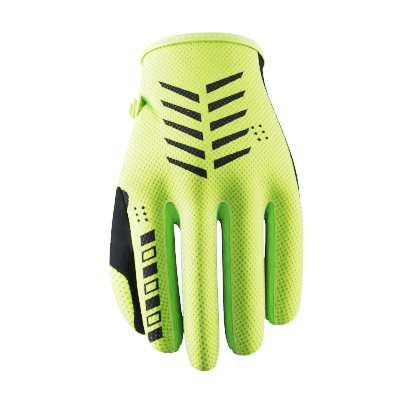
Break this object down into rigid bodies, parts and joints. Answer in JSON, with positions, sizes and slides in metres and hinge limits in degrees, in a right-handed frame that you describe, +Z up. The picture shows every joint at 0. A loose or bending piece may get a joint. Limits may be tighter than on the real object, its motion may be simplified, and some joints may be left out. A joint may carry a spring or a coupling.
{
  "type": "motocross glove",
  "caption": "Left-hand motocross glove in yellow knit with a black suede palm, green finger gussets, a bound cuff and a palm-side wrist strap.",
  "frame": {"origin": "centre of the cuff's mouth", "axes": "+Z up, from the fingertips to the cuff; -Y the way the back of the glove faces; -X the thumb's side"},
  "size_m": [0.1136, 0.0844, 0.1985],
  "materials": {
    "knit": "open knitted mesh",
    "stretch": "smooth stretch weave",
    "suede": "napped suede",
    "binding": "ribbed elastic tape",
    "rubber": "satin"
  },
  "bodies": {
    "root": {"back_knit": "knit", "thumb_knit": "knit", "palm_suede": "suede", "thumb_suede": "suede", "gusset_index_middle": "stretch", "gusset_middle_ring": "stretch", "gusset_ring_little": "stretch", "cuff_binding": "binding", "wrist_strap": "stretch", "strap_pull": "rubber"}
  },
  "joints": []
}
